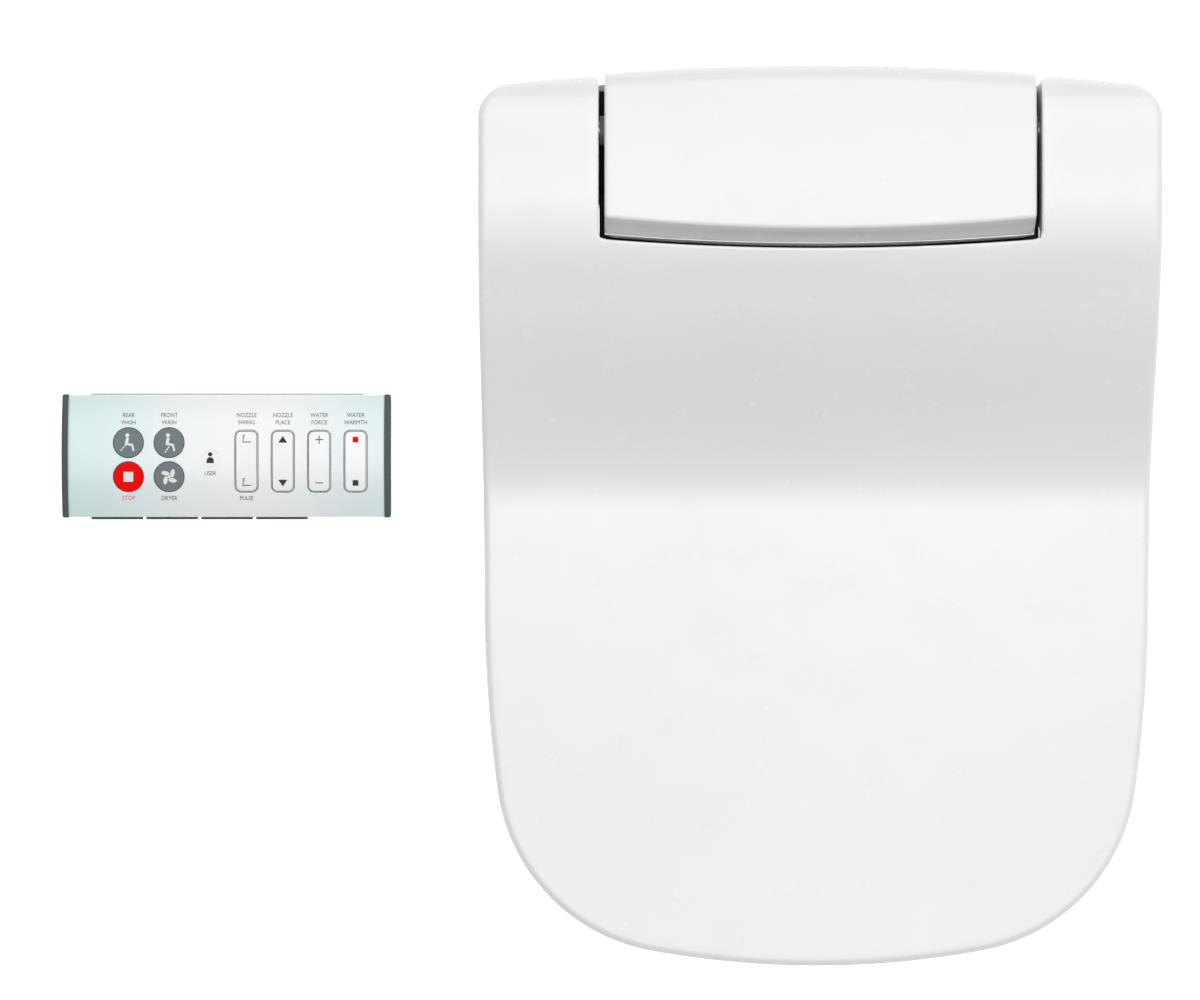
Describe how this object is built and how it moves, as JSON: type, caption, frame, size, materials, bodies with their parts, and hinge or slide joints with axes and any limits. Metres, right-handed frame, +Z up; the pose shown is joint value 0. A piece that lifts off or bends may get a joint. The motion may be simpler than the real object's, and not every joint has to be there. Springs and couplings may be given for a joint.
{
  "type": "electric bidet seat",
  "caption": "Washing toilet seat with a rising rear housing, a one-piece lid on rear ears, a heated seat ring, sliding wands, a warm-air outlet and a remote control.",
  "frame": {"origin": "midway between the two fixing slots of the mounting plate, on its underside, the plane of the bowl's rim", "axes": "+X to the right as seen from the front of the bowl, +Y to the rear, +Z up"},
  "size_m": [0.6282, 0.513, 0.131],
  "materials": {
    "white_gloss": "glossy moulded white",
    "white_satin": "satin moulded white",
    "inner_grey": "satin moulded grey",
    "inner_dark": "satin moulded dark",
    "steel": "turned steel",
    "brass": "turned brass",
    "rubber": "soft grey rubber",
    "board": "printed circuit board",
    "foil": "heating foil",
    "wand": "polished washing wand",
    "nylon": "natural nylon",
    "hose": "translucent hose",
    "remote_white": "glossy pale aqua white",
    "remote_grey": "dark grey moulded ends",
    "key_grey": "printed grey key",
    "key_red": "printed red key",
    "key_white": "pale key with a grey outline",
    "ir": "grey infrared window",
    "cell": "wrapped cell"
  },
  "bodies": {
    "base": {"mounting_plate": "white_satin", "base_tray": "white_satin", "housing_body": "white_gloss", "housing_cover": "white_gloss", "nozzle_hood": "white_satin", "hinge_bushes": "inner_grey", "hinge_pins": "steel", "lid_damper": "inner_dark", "seat_damper": "inner_dark", "housing_screws": "steel", "water_inlet": "brass", "inlet_valve": "nylon", "heater_tank": "nylon", "heater_element": "steel", "water_pump": "inner_dark", "flow_valve": "nylon", "water_hoses": "hose", "fan_scroll": "inner_grey", "fan_motor": "steel", "dryer_duct": "inner_grey", "nozzle_guide": "inner_grey", "nozzle_motors": "steel", "control_board": "board", "power_board": "board", "power_gland": "inner_grey"},
    "seat": {"seat_top": "white_gloss", "seat_base": "white_satin", "seat_heater": "foil", "seat_bumpers": "rubber"},
    "lid": {"lid_shell": "white_gloss", "lid_bumpers": "rubber"},
    "release": {"release_button": "white_satin"},
    "rear_wand": {"rear_nozzle": "wand"},
    "front_wand": {"front_nozzle": "wand"},
    "rear_gear": {"rear_pinion": "nylon"},
    "front_gear": {"front_pinion": "nylon"},
    "flap": {"dryer_flap": "white_satin"},
    "impeller": {"fan_impeller": "inner_dark"},
    "remote": {"remote_face": "remote_white", "remote_back": "remote_white", "remote_end_caps": "remote_grey", "remote_board": "board", "batteries": "cell", "ir_window": "ir"},
    "door": {"battery_door": "remote_white"},
    "user": {"user_key": "key_white"},
    "rear_wash": {"rear_wash_key": "key_grey"},
    "front_wash": {"front_wash_key": "key_grey"},
    "stop": {"stop_key": "key_red"},
    "dryer": {"dryer_key": "key_grey"},
    "oscillation": {"oscillation_rocker": "key_white"},
    "position": {"position_rocker": "key_white"},
    "pressure": {"pressure_rocker": "key_white"},
    "temperature": {"temperature_rocker": "key_white"},
    "edge_1": {"edge_key_1": "remote_grey"},
    "edge_2": {"edge_key_2": "remote_grey"},
    "edge_3": {"edge_key_3": "remote_grey"},
    "edge_4": {"edge_key_4": "remote_grey"}
  },
  "joints": [
    {"name": "seat_hinge", "type": "hinge", "parent": "base", "child": "seat", "pos_m": [0, 0.023, 0.092], "axis": [-1, 0, 0], "range_deg": [0, 95]},
    {"name": "lid_hinge", "type": "hinge", "parent": "seat", "child": "lid", "pos_m": [0, 0.023, 0.092], "axis": [1, 0, 0], "range_deg": [-100, 0]},
    {"name": "release_button", "type": "slide", "parent": "base", "child": "release", "axis": [-1, 0, 0], "range_m": [0, 0.003], "stiffness_N_per_m": 600},
    {"name": "rear_nozzle_slide", "type": "slide", "parent": "base", "child": "rear_wand", "axis": [0, -0.9511, -0.309], "range_m": [0, 0.066]},
    {"name": "front_nozzle_slide", "type": "slide", "parent": "base", "child": "front_wand", "axis": [0, -0.9511, -0.309], "range_m": [0, 0.066]},
    {"name": "rear_pinion_spin", "type": "hinge", "parent": "base", "child": "rear_gear", "pos_m": [-0.011, -0.02175, 0.04501], "axis": [1, 0, 0], "range_deg": [-690, 5]},
    {"name": "front_pinion_spin", "type": "hinge", "parent": "base", "child": "front_gear", "pos_m": [0.011, -0.02175, 0.04501], "axis": [1, 0, 0], "range_deg": [-690, 5]},
    {"name": "dryer_flap_hinge", "type": "hinge", "parent": "base", "child": "flap", "pos_m": [0.051, -0.097, 0.0245], "axis": [1, 0, 0], "range_deg": [-70, 0]},
    {"name": "fan_spin", "type": "hinge", "parent": "base", "child": "impeller", "pos_m": [0.051, 0.016, 0.052], "axis": [1, 0, 0], "continuous": true},
    {"name": "remote_lift", "type": "slide", "parent": "base", "child": "remote", "axis": [0, 0, 1], "range_m": [0, 0.12]},
    {"name": "battery_door_slide", "type": "slide", "parent": "remote", "child": "door", "axis": [1, 0, 0], "range_m": [0, 0.04]},
    {"name": "user_press", "type": "slide", "parent": "remote", "child": "user", "axis": [0, 0, -1], "range_m": [0, 0.0008], "stiffness_N_per_m": 500},
    {"name": "rear_wash_press", "type": "slide", "parent": "remote", "child": "rear_wash", "axis": [0, 0, -1], "range_m": [0, 0.0008], "stiffness_N_per_m": 500},
    {"name": "front_wash_press", "type": "slide", "parent": "remote", "child": "front_wash", "axis": [0, 0, -1], "range_m": [0, 0.0008], "stiffness_N_per_m": 500},
    {"name": "stop_press", "type": "slide", "parent": "remote", "child": "stop", "axis": [0, 0, -1], "range_m": [0, 0.0008], "stiffness_N_per_m": 500},
    {"name": "dryer_press", "type": "slide", "parent": "remote", "child": "dryer", "axis": [0, 0, -1], "range_m": [0, 0.0008], "stiffness_N_per_m": 500},
    {"name": "oscillation_rock", "type": "hinge", "parent": "remote", "child": "oscillation", "pos_m": [-0.3284, -0.1643, 0.0165], "axis": [1, 0, 0], "range_deg": [-2.5, 2.5], "stiffness_Nm_per_rad": 0.4},
    {"name": "position_rock", "type": "hinge", "parent": "remote", "child": "position", "pos_m": [-0.3074, -0.1643, 0.0165], "axis": [1, 0, 0], "range_deg": [-2.5, 2.5], "stiffness_Nm_per_rad": 0.4},
    {"name": "pressure_rock", "type": "hinge", "parent": "remote", "child": "pressure", "pos_m": [-0.2864, -0.1643, 0.0165], "axis": [1, 0, 0], "range_deg": [-2.5, 2.5], "stiffness_Nm_per_rad": 0.4},
    {"name": "temperature_rock", "type": "hinge", "parent": "remote", "child": "temperature", "pos_m": [-0.2654, -0.1643, 0.0165], "axis": [1, 0, 0], "range_deg": [-2.5, 2.5], "stiffness_Nm_per_rad": 0.4},
    {"name": "edge_key_1_press", "type": "slide", "parent": "remote", "child": "edge_1", "axis": [0, 1, 0], "range_m": [0, 0.001], "stiffness_N_per_m": 500},
    {"name": "edge_key_2_press", "type": "slide", "parent": "remote", "child": "edge_2", "axis": [0, 1, 0], "range_m": [0, 0.001], "stiffness_N_per_m": 500},
    {"name": "edge_key_3_press", "type": "slide", "parent": "remote", "child": "edge_3", "axis": [0, 1, 0], "range_m": [0, 0.001], "stiffness_N_per_m": 500},
    {"name": "edge_key_4_press", "type": "slide", "parent": "remote", "child": "edge_4", "axis": [0, 1, 0], "range_m": [0, 0.001], "stiffness_N_per_m": 500}
  ],
  "couplings": [
    {"joint": "rear_pinion_spin", "follows": "rear_nozzle_slide", "rad_per_m": -178.57},
    {"joint": "front_pinion_spin", "follows": "front_nozzle_slide", "rad_per_m": -178.57}
  ]
}
